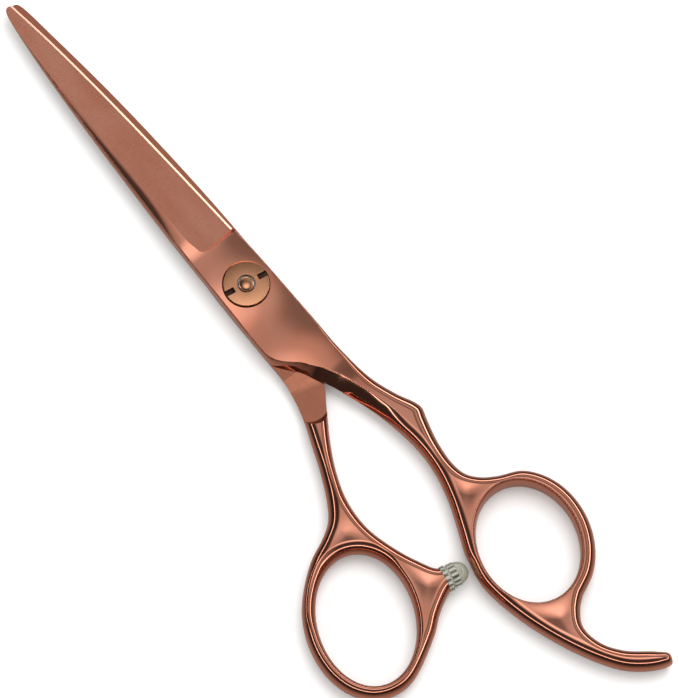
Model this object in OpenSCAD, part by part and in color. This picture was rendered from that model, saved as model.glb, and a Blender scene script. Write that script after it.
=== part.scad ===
// Hair cutting shears with an offset handle, a fixed finger rest and a key-adjusted
// ball-bearing pivot. The origin is on the pivot axis, on the plane that the closed
// shears rest on. +X runs towards the handles, -X towards the tips, +Y towards the
// finger ring and +Z out of the adjusting dial. The finger half lies over the thumb half.

/* [Halves] */
// Thickness of each half at the neck
neck_t = 2.35; // [2.2:0.05:2.6]
// Gap between the two halves at the pivot
half_gap = 0.1; // [0.06:0.02:0.2]
// Height of the stud head under the thumb half, which the shears rest on
head_proud = 0.3; // [0.1:0.05:0.5]
// Thickness left at the cutting edges
edge_t = 0.15; // [0.1:0.05:0.3]
// Rise of the ground face from the cutting edge, per mm of width
grind_slope = 0.26; // [0.2:0.01:0.28]

/* [Rings] */
// Half thickness of the handles at the rings
ring_half_t = 2.6; // [2.2:0.1:2.6]
// Half length of the finger ring opening
finger_hole_a = 11.7; // [10:0.1:12]
// Half width of the finger ring opening
finger_hole_b = 9.15; // [8:0.05:9.5]
// Half length of the thumb ring opening
thumb_hole_a = 12.85; // [11:0.05:13]
// Half width of the thumb ring opening
thumb_hole_b = 9.0; // [8:0.1:9.3]

/* [Pivot] */
// Radius of the adjusting dial
dial_r = 4.3; // [4:0.05:4.4]
// Height of the dial above the finger half
dial_proud = 0.6; // [0.3:0.05:0.8]
// Width of each key slot in the dial
key_slot_w = 1.1; // [0.8:0.1:1.4]
// Length of each key slot, in from the rim
key_slot_l = 1.8; // [1.2:0.1:2]
// Radius of the stud's bearing journal
journal_r = 2.2; // [2:0.05:2.3]
// Number of balls in the thrust bearing
ball_count = 12; // [8:1:14]

/* [Bumper] */
// Radius of the bumper's ribbed body
bumper_r = 2.25; // [2:0.05:2.4]
// Number of ribs round the bumper
rib_count = 14; // [8:1:18]

/* [Hidden] */

$fn = 64;
rose_gold = [0.80, 0.50, 0.40];
bronze = [0.70, 0.48, 0.34];
steel = [0.75, 0.75, 0.76];
white_polymer = [0.92, 0.91, 0.88];
silicone = [0.82, 0.84, 0.79];
fine = 0.02;          // running gap between a moving face and its neighbour
past = 1;             // how far a cutter runs past the face that it cuts

// Heights through the pivot
thumb_lo = head_proud;
thumb_hi = thumb_lo + neck_t;
mating_z = thumb_hi + half_gap / 2;
finger_lo = thumb_hi + half_gap;
finger_hi = finger_lo + neck_t;
dial_top = finger_hi + dial_proud;

// Pivot fittings
head_r = 3.8;
head_t = 0.8;
head_seat_r = head_r + 0.1;
journal_gap = 0.03;
bushing_r = 2.8;
dial_seat_r = dial_r + 0.15;
dial_seat_z = finger_lo + 0.85;
race_t = 0.2;
ball_r = 0.29;
ball_pitch_r = 3.35;
lower_race_top = dial_seat_z + race_t;
ball_z = lower_race_top + ball_r + fine / 2;
upper_race_z = ball_z + ball_r + fine / 2;
dial_z = upper_race_z + race_t;
race_in_r = 2.45;
race_out_r = dial_r - 0.1;
cage_half_t = 0.14;
thread_r = 1.45;
dial_bore_r = thread_r + 0.05;
lock_ring_r = 2.0;
lock_ring_t = 0.35;
lock_ring_z = dial_z + 0.2;
washer_r = 4.0;
washer_t = 0.35;
washer_z = finger_lo - fine - washer_t;
washer_seat_r = washer_r + 0.1;
key_slot_turn = 9.5;
key_slot_depth = 0.7;

// The plane across each neck where the blade forging is welded to its handle casting
weld_x = 27;
// Where the ground face ends at the neck, its half width there, and how far the tips reach
heel_x = -9.8;
heel_y = 5.1;
tip_x = -69.7;
// Slope of the outer face from the heel down to the tip, in degrees
back_taper = 1;

// Outlines seen from above, in mm from the pivot axis: [x, y]
finger_edge = [[tip_x, -0.1], [-60, 1.15], [-45, 2.65], [-30, 3.8], [heel_x, heel_y]];
finger_top = [[heel_x, heel_y], [0, 5.55], [14, 5.9], [22, 6.3], [weld_x, 6.95]];
finger_sweep = [[weld_x, 1.9], [24, 0.8], [21, -0.6], [18, -2.8], [14.3, -5.7]];
finger_spine = [[14.3, -5.7], [0, -5.65], [-15, -5.5], [-30, -5], [-45, -4.3], [-60, -3.2], [tip_x, -1.9]];
thumb_spine = [[-69.3, 1], [-60, 2.15], [-45, 3.7], [-30, 4.75], [-15, 5.4], [0, 5.6], [14.3, 5.6]];
thumb_sweep = [[14.3, 5.6], [17, 3.6], [20, 1.7], [23.5, 0], [weld_x, -2.3]];
thumb_bottom = [[weld_x, -7.8], [23, -6.5], [18, -5.75], [0, -5.6], [heel_x, -heel_y]];
thumb_edge = [[heel_x, -heel_y], [-30, -4.05], [-45, -3.25], [-60, -2.3], [-69.3, -1]];

// Handle bars: [x, y, half width, half thickness] along the middle. Each shank starts short of
// the weld plane, which trims it, and parts into two arms that run into its ring
finger_shank = [[weld_x - 1.5, 3.95, 2.6, 2.3], [weld_x, 4.45, 2.55, 2.3], [31, 5.85, 2.4, 2.4],
                [35, 7.15, 2.75, 2.5], [38.2, 7.9, 3.05, 2.5], [42, 7.6, 2.3, 2.5], [47, 7.1, 1.85, 2.5],
                [51, 6.8, 2, 2.5], [54, 7, 2.5, 2.5], [57.6, 7.8, 3, 2.3]];
finger_upper_arm = [[49, 7.5, 1.2, 2], [53, 8.2, 1.2, 2.3], [56, 10.6, 1.6, 2.4], [58.3, 14.6, 1.6, 2.4],
                    [61.2, 18.2, 1.2, 2.2]];
finger_lower_arm = [[48, 6.6, 1.3, 2], [53, 5.5, 1.4, 2.4], [58, 4, 1.6, 2.4], [63, 1.8, 1.4, 2.4],
                    [68, 0, 1, 2]];
rest_upper_arm = [[80.6, 16.4, 1.1, 2], [82.8, 13, 1.4, 2.4], [84.6, 9.8, 1.8, 2.4], [87.2, 7.3, 1.8, 2.4],
                  [91, 6.6, 1.6, 2.2]];
rest_lower_arm = [[74, -0.2, 1, 2], [79, 0.9, 1.3, 2.4], [84, 2.4, 1.6, 2.4], [89, 4.4, 1.8, 2.4],
                  [92, 5.8, 1.5, 2.2]];
rest_tang = [[84, 5.6, 3, 2.2], [87.5, 5.6, 2.9, 2.4], [91, 5.9, 2.3, 2.4], [94, 7, 1.95, 2.4],
             [97, 8.7, 1.85, 2.3], [100, 11.2, 1.9, 2.2], [102.3, 14, 1.85, 2], [104, 17, 0.9, 1]];
thumb_shank = [[weld_x - 1.5, -4.35, 2.6, 2.3], [weld_x, -5.1, 2.5, 2.3], [31, -7.15, 1.95, 2.4],
               [36, -9.5, 1.55, 2.5], [40, -11.3, 1.6, 2.5], [43.5, -13.1, 1.9, 2.5], [46.5, -14.8, 2.6, 2.4],
               [50.2, -16.6, 3.2, 2.2]];
thumb_upper_arm = [[40, -11.1, 1.2, 2], [44, -12.2, 1.4, 2.3], [49, -12.9, 1.7, 2.4], [54, -11.8, 1.7, 2.4],
                   [60, -10.5, 1.8, 2.4], [66, -10.6, 2, 2.2]];
thumb_lower_arm = [[40, -12, 1.1, 2], [43.5, -14.2, 1.3, 2.4], [46.6, -17.2, 1.5, 2.4], [48.6, -20.6, 1.6, 2.4],
                   [50.6, -25, 1.3, 2.2]];
bumper_lug = [[66, -11.9, 4, 2], [66.1, -10, 3.2, 2.3], [66.25, -8, 2.4, 2.4], [66.4, -6.2, 1.95, 2]];

finger_ring_at = [70.6, 10.1];
finger_ring_turn = -15.7;
thumb_ring_at = [63.6, -22.2];
thumb_ring_turn = -24.8;
ring_band = 2.5;      // mean width of each ring's band
finger_band_swell = 0.35;
thumb_band_swell = -0.1;

// The bumper stands on the lug and points at the finger ring
bumper_at = [66.4, -6.2, mating_z];
bumper_turn = -9.5;   // from +Y, about Z
bumper_collar_r = 2.55;
bumper_collar_h = 1.3;
bumper_body_h = 2.6;
post_r = 0.8;
post_depth = 2.6;
post_h = 2.4;

// A smooth curve through points of any number of coordinates, with `steps` pieces a span
function blend(a, b, c, d, t) =
    0.5 * (2 * b + (c - a) * t + (2 * a - 5 * b + 4 * c - d) * t * t + (3 * b - a - 3 * c + d) * t * t * t);
function smooth(p, steps = 4) = [
    for (i = [0:len(p) - 2], k = [0:steps - 1])
        blend(p[max(i - 1, 0)], p[i], p[i + 1], p[min(i + 2, len(p) - 1)], k / steps)
];
function curve(p, steps = 4) = concat(smooth(p, steps), [p[len(p) - 1]]);

// A rounded cross-section, flatter on its faces than an ellipse: [across, up]
section_sides = 12;
function squarer(v) = sign(v) * pow(abs(v), 0.8);
function section(half_w, half_t) = [
    for (i = [0:section_sides - 1])
        let (a = 360 * i / section_sides)
        [half_w * squarer(cos(a)), half_t * squarer(sin(a))]
];

// One section of a bar set across the path, which runs at angle `turn` through s
function placed(s, turn) = [
    for (q = section(s[2], s[3]))
        [s[0] - q[0] * sin(turn), s[1] + q[0] * cos(turn), mating_z + q[1]]
];
function heading(a, b) = atan2(b[1] - a[1], b[0] - a[0]);

// The side faces between ring i and ring j of a swept bar
function walls(i, j) = [
    for (k = [0:section_sides - 1])
        let (m = (k + 1) % section_sides)
        [i * section_sides + k, j * section_sides + k, j * section_sides + m, i * section_sides + m]
];

module bar(stations) {
    path = curve(stations);
    last = len(path) - 1;
    points = [for (i = [0:last]) each placed(path[i], heading(path[max(i - 1, 0)], path[min(i + 1, last)]))];
    first_cap = [for (k = [0:section_sides - 1]) k];
    last_cap = [for (k = [section_sides - 1:-1:0]) last * section_sides + k];
    polyhedron(points, concat([for (i = [0:last - 1]) each walls(i, i + 1)], [first_cap, last_cap]));
}

// A closed oval band round an oval opening, wider on its far side by `swell` and narrower on its near side
module ring(at, turn, hole_a, hole_b, swell) {
    stations = 48;
    points = [
        for (i = [0:stations - 1])
            let (t = 360 * i / stations,
                 half = (ring_band + swell * sin(t)) / 2,
                 across = atan2(hole_a * sin(t), hole_b * cos(t)))
            each [for (q = section(half, ring_half_t))
                      [hole_a * cos(t) + (half - q[0]) * cos(across),
                       hole_b * sin(t) + (half - q[0]) * sin(across),
                       mating_z + q[1]]]
    ];
    translate(at)
        rotate(turn)
            polyhedron(points, [for (i = [0:stations - 1]) each walls(i, (i + 1) % stations)]);
}

// Everything above the ground face, which rises from the cutting edge to the ridge, and above
// the back, which thins towards the tip. Drawn for a blade whose edge faces +Y, on z = 0.
module grinding() {
    edge_turn = atan2(heel_y - finger_edge[0][1], heel_x - tip_x);
    translate([heel_x, heel_y, edge_t])
        rotate([-atan(grind_slope), 0, edge_turn])
            beyond_heel();
    translate([heel_x, 0, neck_t])
        rotate([0, -back_taper, 0])
            beyond_heel();
}

// A block from the heel to past the tip, above z = 0
module beyond_heel() {
    reach = heel_x - tip_x + 10;
    width = 40;
    translate([-reach, -width / 2, 0])
        cube([reach, width, 3 * neck_t]);
}

module drill(r, z0, z1) {
    translate([0, 0, z0])
        cylinder(r = r, h = z1 - z0);
}

module tube(outer_r, inner_r, z0, z1) {
    difference() {
        drill(outer_r, z0, z1);
        drill(inner_r, z0 - past, z1 + past);
    }
}

module finger_blade() {
    color(rose_gold)
        difference() {
            translate([0, 0, finger_lo])
                difference() {
                    linear_extrude(neck_t)
                        polygon(concat(curve(finger_edge), smooth(finger_top),
                                       [[weld_x, 6.95]], smooth(finger_sweep), curve(finger_spine)));
                    grinding();
                }
            drill(bushing_r, finger_lo - past, finger_hi + past);
            drill(dial_seat_r, dial_seat_z, finger_hi + past);
        }
}

// Squares off the start of a shank where it meets its blade forging
module weld_plane() {
    depth = 5;
    width = 40;
    translate([weld_x - depth, -width / 2, -past])
        cube([depth, width, finger_hi + 2 * past]);
}

module finger_handle() {
    color(rose_gold)
        difference() {
            union() {
                ring(finger_ring_at, finger_ring_turn, finger_hole_a, finger_hole_b, finger_band_swell);
                for (stations = [finger_shank, finger_upper_arm, finger_lower_arm,
                                 rest_tang, rest_upper_arm, rest_lower_arm])
                    bar(stations);
            }
            weld_plane();
        }
}

module thumb_blade() {
    color(rose_gold)
        difference() {
            difference() {
                translate([0, 0, thumb_lo])
                    linear_extrude(neck_t)
                        polygon(concat(curve(thumb_spine), smooth(thumb_sweep),
                                       [[weld_x, -2.3]], smooth(thumb_bottom), curve(thumb_edge)));
                translate([0, 0, thumb_hi])
                    rotate([180, 0, 0])
                        grinding();
            }
            drill(journal_r + journal_gap, thumb_lo - past, finger_lo);
            drill(head_seat_r, thumb_lo - past, head_t);
            drill(washer_seat_r, washer_z, finger_lo);
        }
}

module thumb_handle() {
    color(rose_gold)
        difference() {
            union() {
                ring(thumb_ring_at, thumb_ring_turn, thumb_hole_a, thumb_hole_b, thumb_band_swell);
                for (stations = [thumb_shank, thumb_upper_arm, thumb_lower_arm, bumper_lug])
                    bar(stations);
            }
            weld_plane();
            on_lug()
                drill(post_r, -post_depth, past);
            on_lug()
                drill(bumper_collar_r + past, 0, bumper_collar_h);
        }
}

module pivot_stud() {
    color(steel)
        union() {
            drill(head_r, 0, head_t);
            drill(journal_r, head_t, dial_seat_z);
            drill(thread_r, dial_seat_z, dial_top);
            intersection() {
                translate([0, 0, dial_top - 5])
                    sphere(r = sqrt(25 + thread_r * thread_r));
                drill(thread_r, dial_top - 0.1, dial_top + past);
            }
        }
}

module pivot_bushing() {
    color(white_polymer)
        tube(bushing_r, journal_r + journal_gap, finger_lo, dial_seat_z);
}

module ride_washer() {
    color(white_polymer)
        tube(washer_r, journal_r + journal_gap, washer_z, washer_z + washer_t);
}

module lower_race() {
    color(steel)
        tube(race_out_r, race_in_r, dial_seat_z, lower_race_top);
}

module upper_race() {
    color(steel)
        tube(race_out_r, race_in_r, upper_race_z, dial_z);
}

// One copy for each ball, round the pivot
module at_balls() {
    for (i = [0:ball_count - 1])
        rotate(360 * i / ball_count)
            translate([ball_pitch_r, 0, ball_z])
                children();
}

module ball_cage() {
    color(bronze)
        difference() {
            tube(race_out_r - 0.1, race_in_r + 0.1, ball_z - cage_half_t, ball_z + cage_half_t);
            at_balls()
                cylinder(r = ball_r + fine, h = past, center = true);
        }
}

module bearing_balls() {
    color(steel)
        at_balls()
            sphere(r = ball_r, $fn = 24);
}

module tension_dial() {
    color(bronze)
        difference() {
            union() {
                drill(dial_r, dial_z, dial_top - 0.15);
                translate([0, 0, dial_top - 0.15])
                    cylinder(r1 = dial_r, r2 = dial_r - 0.15, h = 0.15);
            }
            drill(dial_bore_r, dial_z - past, dial_top + past);
            drill(lock_ring_r, lock_ring_z, lock_ring_z + lock_ring_t);
            rotate(-key_slot_turn)
                for (side = [0, 180])
                    rotate(side)
                        translate([-key_slot_w / 2, dial_r - key_slot_l, dial_top - key_slot_depth])
                            cube([key_slot_w, key_slot_l + past, key_slot_depth + past]);
        }
}

module lock_ring() {
    color(white_polymer)
        tube(lock_ring_r, dial_bore_r, lock_ring_z, lock_ring_z + lock_ring_t);
}

// Stands a shape that is drawn along +Z on the lug
module on_lug() {
    translate(bumper_at)
        rotate(bumper_turn)
            rotate([-90, 0, 0])
                children();
}

module bumper_post() {
    color(steel)
        on_lug()
            drill(post_r, -post_depth, post_h);
}

module bumper_cap() {
    color(silicone)
        on_lug()
            difference() {
                union() {
                    drill(bumper_collar_r, 0, bumper_collar_h);
                    drill(bumper_r - 0.15, 0, bumper_body_h);
                    for (i = [0:rib_count - 1])
                        rotate(360 * i / rib_count)
                            translate([bumper_r - 0.2, -0.15, 0])
                                cube([0.2, 0.3, bumper_body_h]);
                    translate([0, 0, bumper_body_h])
                        sphere(r = bumper_r - 0.01);
                }
                drill(post_r, -past, post_h);
            }
}

finger_blade();
finger_handle();
thumb_blade();
thumb_handle();
pivot_stud();
pivot_bushing();
ride_washer();
lower_race();
ball_cage();
bearing_balls();
upper_race();
tension_dial();
lock_ring();
bumper_post();
bumper_cap();
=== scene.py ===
"""Hair cutting shears: the looks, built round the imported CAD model."""

import math

import bmesh
import bpy
import numpy as np
from mathutils import Matrix, Vector


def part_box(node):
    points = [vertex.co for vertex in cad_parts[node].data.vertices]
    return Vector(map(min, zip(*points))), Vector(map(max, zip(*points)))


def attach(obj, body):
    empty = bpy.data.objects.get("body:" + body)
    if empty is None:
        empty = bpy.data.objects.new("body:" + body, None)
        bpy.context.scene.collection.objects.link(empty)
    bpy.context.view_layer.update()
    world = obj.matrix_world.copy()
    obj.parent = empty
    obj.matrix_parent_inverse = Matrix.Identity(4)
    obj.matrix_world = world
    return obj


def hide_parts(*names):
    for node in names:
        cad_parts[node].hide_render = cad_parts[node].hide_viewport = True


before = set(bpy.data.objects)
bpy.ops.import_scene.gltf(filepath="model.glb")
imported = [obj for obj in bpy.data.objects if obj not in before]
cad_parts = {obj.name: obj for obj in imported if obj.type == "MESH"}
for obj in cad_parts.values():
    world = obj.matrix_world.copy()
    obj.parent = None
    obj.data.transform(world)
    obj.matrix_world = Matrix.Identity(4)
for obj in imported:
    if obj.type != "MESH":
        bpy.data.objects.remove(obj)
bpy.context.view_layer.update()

MM = 0.001

# ----------------------------------------
# Heights and radii in millimetres, nearly all from the frame
# ----------------------------------------


def low(node):
    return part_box(node)[0] / MM


def high(node):
    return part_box(node)[1] / MM


MATING_Z = (high("thumb_blade").z + low("finger_blade").z) / 2
HALF_GAP = low("finger_blade").z - MATING_Z
NECK_T = high("finger_blade").z - MATING_Z      # the outer face of a neck, from the mating plane
RING_T = (high("finger_handle").z - low("finger_handle").z) / 2
DIAL_R = high("tension_dial").x
DIAL_TOP = high("tension_dial").z
DIAL_LOW = low("tension_dial").z
RACE_LOW = low("lower_race").z
HEAD_R = high("pivot_stud").x
HEAD_THICKNESS = 0.8
HEAD_TOP = low("pivot_stud").z + HEAD_THICKNESS
JOURNAL_R = 2.2                                 # the part of the stud that turns in the bushing
STUD_TOP = high("pivot_stud").z
WASHER_R = high("ride_washer").x
WASHER_LOW = low("ride_washer").z
BUSHING_R = high("pivot_bushing").x
WELD_X = high("finger_blade").x                 # the plane where each blade meets its handle

# ----------------------------------------
# Outlines, [x, y] in millimetres from the pivot axis. Both halves are described with the cutting
# edge towards +Y and the outer face up. The thumb half is then turned over about the X axis
# ----------------------------------------


def spline(points, step=0.1):
    """A smooth curve through the points, sampled about every `step` mm."""
    p = np.asarray(points, float)
    before = np.vstack([2 * p[0] - p[1], p[:-1]])
    after = np.vstack([p[2:], 2 * p[-1] - p[-2]])
    out = []
    for i in range(len(p) - 1):
        a, b, c, d = before[i], p[i], p[i + 1], after[i]
        # Centripetal spacing keeps the curve from looping between uneven points
        k0, k1, k2 = (math.sqrt(np.linalg.norm(v)) for v in (b - a, c - b, d - c))
        start = k1 * ((b - a) / k0 - (c - a) / (k0 + k1) + (c - b) / k1)
        end = k1 * ((c - b) / k1 - (d - b) / (k1 + k2) + (d - c) / k2)
        count = max(2, round(np.linalg.norm(c - b) / step))
        t = np.linspace(0, 1, count, endpoint=False)[:, None]
        out.append((2 * t**3 - 3 * t**2 + 1) * b + (t**3 - 2 * t**2 + t) * start
                   + (3 * t**2 - 2 * t**3) * c + (t**3 - t**2) * end)
    return np.vstack(out + [p[-1:]])


class Ring:
    """An oval opening and the band round it, wider on its far side by `swell`."""

    def __init__(self, at, turn, half_length, half_width, band, swell):
        self.at = np.array(at)
        self.turn = math.radians(turn)
        self.half_length = half_length
        self.half_width = half_width
        self.band = band
        self.swell = swell

    def oval(self, start, stop, count, outside):
        t = np.radians(np.linspace(start, stop, count))
        normal = np.stack([self.half_width * np.cos(t), self.half_length * np.sin(t)], 1)
        normal /= np.linalg.norm(normal, axis=1, keepdims=True)
        grow = (self.band + self.swell * np.sin(t))[:, None] if outside else 0
        p = np.stack([self.half_length * np.cos(t), self.half_width * np.sin(t)], 1) + normal * grow
        c, s = math.cos(self.turn), math.sin(self.turn)
        return p @ np.array([[c, s], [-s, c]]) + self.at

    def opening(self):
        return self.oval(0, 360, 721, False)

    def outside(self, start, stop, count=9):
        return self.oval(start, stop, count, True).tolist()


FINGER_RING = Ring((70.6, 10.1), -15.7, 11.7, 9.15, 2.5, 0.35)
THUMB_RING = Ring((63.6, 22.2), 24.8, 12.85, 9.0, 2.45, 0.1)

FINGER = {
    "name": "finger",
    "ring": FINGER_RING,
    "edge": [[-69.9, -0.2], [-60, 1.15], [-45, 2.65], [-30, 3.8], [-10, 5.1], [-8, 5.2]],
    "near": [[-70, -0.95], [-69.75, -0.3], [-69, 0], [-60, 1.15], [-45, 2.65], [-30, 3.8], [-10, 5.1],
             [0, 5.55], [14, 5.95], [20, 6.15], [27.5, 7.1], [33, 8.95], [36.7, 10.75], [38.2, 11.05],
             [40.4, 10.4], [45, 9.25], [50, 8.8], [53, 9.4], [55.1, 11], [56.9, 13.6]]
            + FINGER_RING.outside(160, 30)
            + [[84.5, 11.9], [86.6, 9.6], [89.4, 8.15], [93.5, 8.7], [97.3, 11.1], [101.2, 15.7],
               [103.2, 17.7], [104.2, 17.9]],
    "far": [[-70, -0.95], [-69.75, -1.6], [-69, -2], [-60, -3.2], [-45, -4.3], [-30, -5], [-15, -5.5],
            [0, -5.65], [13.6, -5.7], [14.8, -5.45], [16.8, -4.05], [19.3, -2], [21.5, -0.85], [26.2, 1.2],
            [34.6, 3.95], [43.4, 5.4], [49.3, 5.1], [55.1, 3.7], [60.7, 1.55], [65, -0.2]]
           + FINGER_RING.outside(268, 292, 3)
           + [[79.4, -0.4], [87.9, 2.25], [96, 6.05], [100.8, 9.5], [104.1, 14.1], [104.85, 16.8],
              [104.2, 17.9]],
}
THUMB = {
    "name": "thumb",
    "ring": THUMB_RING,
    "edge": [[-69.6, 0.7], [-60, 2.3], [-45, 3.25], [-30, 4.05], [-10, 5.1], [-8, 5.2]],
    "near": [[-69.7, 0], [-69.4, 0.65], [-68.6, 1.1], [-60, 2.3], [-45, 3.25], [-30, 4.05], [-10, 5.1],
             [0, 5.55], [14, 5.6], [19, 5.75], [25, 7], [31, 9.25], [36.6, 11.45], [41.9, 14.1],
             [44.7, 16.2], [46.5, 18.9], [48.6, 23.2]]
            + THUMB_RING.outside(122, -28)
            + [[73.6, 14.1], [71.3, 11.2], [69.9, 9], [68.75, 6.6], [68.6, 4.5], [67.9, 3], [67, 2.6]],
    "far": [[-69.7, 0], [-69.4, -0.65], [-68.6, -1.05], [-60, -2.15], [-45, -3.7], [-30, -4.75],
            [-15, -5.4], [0, -5.6], [13.6, -5.6], [14.8, -5.35], [17, -3.6], [20, -1.7], [23.5, 0.15],
            [28, 3.15], [33, 6.35], [38.3, 9.05], [43.9, 10.85], [49.9, 11.15], [55.7, 9.8], [60.5, 7.9],
            [64.1, 5.8], [64.6, 4], [65.8, 2.9], [67, 2.6]],
}

# How each outline's edge is rounded along X: [x, width, roundness, squareness]. The width is how
# far in from the outline the face is full height
NEAR_EDGE = [[-70, 0.3, 2, 4], [10, 0.3, 2, 4], [20, 0.9, 2, 3], [30, 1.9, 2, 2], [40, 2.4, 2, 2],
             [50, 2.2, 2.1, 2], [58, 1.9, 2.1, 2], [110, 2, 2.1, 2]]
FAR_EDGE = {
    "finger": [[-70, 0.35, 2, 4], [12, 0.35, 2, 4], [15, 0.8, 1.2, 1.4], [19, 1.4, 1.08, 1.1],
               [22, 2.1, 1.03, 1.05], [25, 2.4, 1.03, 1.05], [29, 2.3, 1.05, 1.05], [34, 2.2, 1.15, 1.2],
               [40, 2.2, 1.9, 1.9], [45, 2.3, 2.1, 2], [110, 2.1, 2.1, 2]],
    "thumb": [[-70, 0.35, 2, 4], [12, 0.35, 2, 4], [16, 0.8, 1.5, 1.8], [22, 1.6, 1.8, 1.9],
              [30, 1.5, 2, 2], [40, 1.9, 2.1, 2], [110, 2.1, 2.1, 2]],
}
HOLE_EDGE = {
    "finger": [[0, 0.75, 2.1, 2]],
    "thumb": [[50, 2.0, 1.6, 1.8], [56, 1.9, 1.6, 1.8], [61, 1.3, 2.1, 2], [110, 1.3, 2.1, 2]],
}

# What shapes the outer face along X, in [x, amount] rows: its height, the crown across it, the fall of
# the spine behind the ridge, the gentle wave that hand polishing leaves, and the dip of the webs
FACE_HEIGHT = [[-70, NECK_T - 1.05], [-10, NECK_T], [30, NECK_T], [44, 2.55], [110, 2.55]]
CROWN = [[-70, 0.1], [-8, 0.2], [18, 0.2], [34, 0.0]]
NECK_HALF_W = 5.6
SPINE_FALL = [[-70, 0.09], [-28, 0.08], [-8, 0.0]]
SPINE_START = -2.6
WAVE = [[-14, 0.0], [-9, 0.085], [22, 0.085], [27, 0.0]]
WAVE_LENGTH = 17.5
WAVE_TOP = -2.8
WEB_DIP = [[44, 0.0], [52, 0.2], [95, 0.2], [100, 0.0]]
WEB_START = 1.0                 # the dip begins this far in from every edge
WEB_RUN = 3.4                   # and takes this far to reach its depth

OUTSIDE_RISE = 3.0              # how fast the field rises beyond an outline
CELL = 0.16                     # grid pitch of the surfaces
MARGIN = 1.0                    # room in the grid round an outline


def along(table, x, column=1):
    """The table's column at each x, with smooth steps between its rows."""
    rows = np.asarray(table, float)
    if len(rows) == 1:
        return np.full_like(x, rows[0, column])
    i = np.clip(np.searchsorted(rows[:, 0], x) - 1, 0, len(rows) - 2)
    t = np.clip((x - rows[i, 0]) / (rows[i + 1, 0] - rows[i, 0]), 0, 1)
    t = t * t * (3 - 2 * t)
    return rows[i, column] * (1 - t) + rows[i + 1, column] * t


class Outline:
    """A sampled curve: the distance from it, the direction of that distance, and which side is solid."""

    def __init__(self, points, rounding, solid_side):
        self.points = points
        tangent = np.gradient(points, axis=0)
        tangent /= np.linalg.norm(tangent, axis=1, keepdims=True)
        self.tangent = tangent
        self.left = np.stack([-tangent[:, 1], tangent[:, 0]], 1)
        self.rounding = rounding
        self.solid_side = solid_side        # 1 where the solid is on the curve's left, -1 on its right

    def nearest(self, q):
        """The sample nearest to each point: first among a few, then along the curve from there."""
        stride = 6
        block = 2048
        few = self.points[::stride]
        size = (few ** 2).sum(1)
        best = np.concatenate([np.argmin(size - 2 * part @ few.T, 1)
                               for part in np.array_split(q, len(q) // block + 1)]) * stride
        start = best.copy()
        least = ((q - self.points[best]) ** 2).sum(1)
        for offset in range(-stride, stride + 1):
            i = np.clip(start + offset, 0, len(self.points) - 1)
            d = ((q - self.points[i]) ** 2).sum(1)
            best = np.where(d < least, i, best)
            least = np.minimum(d, least)
        return best

    def away(self, q):
        """How far each point is from the curve, in which direction, and whether on the solid side."""
        i = self.nearest(q)
        gap = q - self.points[i]
        past = (gap * self.tangent[i]).sum(1)
        j = np.clip(i + np.sign(past).astype(int), 0, len(self.points) - 1)
        step = np.linalg.norm(self.points[j] - self.points[i], axis=1)
        share = np.clip(np.abs(past) / np.maximum(step, 1e-9), 0, 1)[:, None]
        left = self.left[i] * (1 - share) + self.left[j] * share
        foot = self.points[i] * (1 - share) + self.points[j] * share
        across = ((q - foot) * left).sum(1)
        length = np.linalg.norm(gap, axis=1)
        at_end = (i == 0) | (i == len(self.points) - 1)
        distance = np.where(at_end, length, np.abs(across))
        direction = np.where(at_end[:, None], gap / np.maximum(length, 1e-9)[:, None],
                             left * np.sign(across)[:, None])
        return distance, direction, across * self.solid_side > 0


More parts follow.
